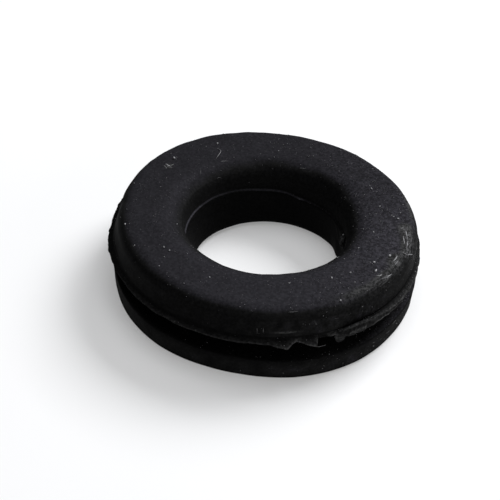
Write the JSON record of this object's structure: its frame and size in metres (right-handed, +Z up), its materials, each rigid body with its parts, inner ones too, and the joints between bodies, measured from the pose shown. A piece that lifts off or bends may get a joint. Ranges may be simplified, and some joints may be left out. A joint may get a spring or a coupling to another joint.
{
  "type": "rubber grommet",
  "caption": "Round black rubber grommet for a panel hole, with an edge groove, a lipped cable bore and moulding flash torn at the front.",
  "frame": {"origin": "centre of the bore at the underside of the lower flange, which rests on Z = 0", "axes": "+Z up the bore, from the lower flange to the lipped upper flange; -Y to the front, where the flash is torn; +X to the right as seen from the front"},
  "size_m": [0.0257, 0.0259, 0.0065],
  "materials": {
    "rubber": "matt black moulded rubber, dusty"
  },
  "bodies": {
    "root": {"grommet": "rubber"}
  },
  "joints": []
}
